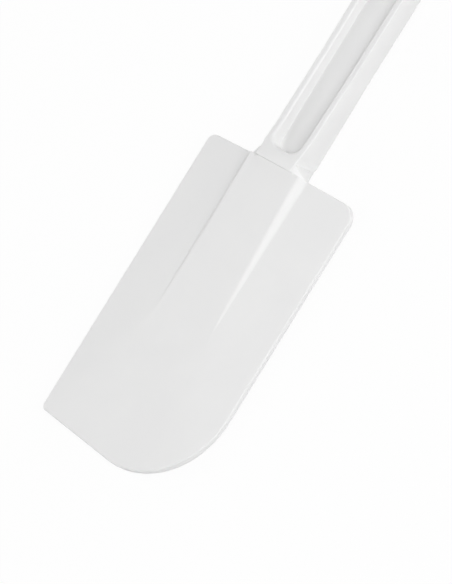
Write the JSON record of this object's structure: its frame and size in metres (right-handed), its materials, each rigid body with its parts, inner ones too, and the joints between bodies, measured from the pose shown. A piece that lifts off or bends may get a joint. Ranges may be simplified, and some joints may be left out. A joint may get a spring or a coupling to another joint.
{
  "type": "rubber spatula",
  "caption": "Kitchen scraper: a flat flexible blade with a round and a square corner at its tip, on a straight moulded handle with a hanging hole.",
  "frame": {"origin": "under the middle of the spatula's outline, on the surface that it lies on", "axes": "+Y from the tip of the blade to the end of the handle, +Z out of the ribbed face, +X towards the side of the blade with the round corner"},
  "size_m": [0.07, 0.343, 0.0126],
  "materials": {
    "handle_plastic": "satin white moulded polypropylene",
    "blade_rubber": "matte white moulded rubber"
  },
  "bodies": {
    "handle": {"handle": "handle_plastic"},
    "blade": {"blade": "blade_rubber"}
  },
  "joints": [
    {"name": "blade_pull_off", "type": "slide", "parent": "handle", "child": "blade", "axis": [0, -1, 0], "range_m": [0, 0.055]}
  ]
}
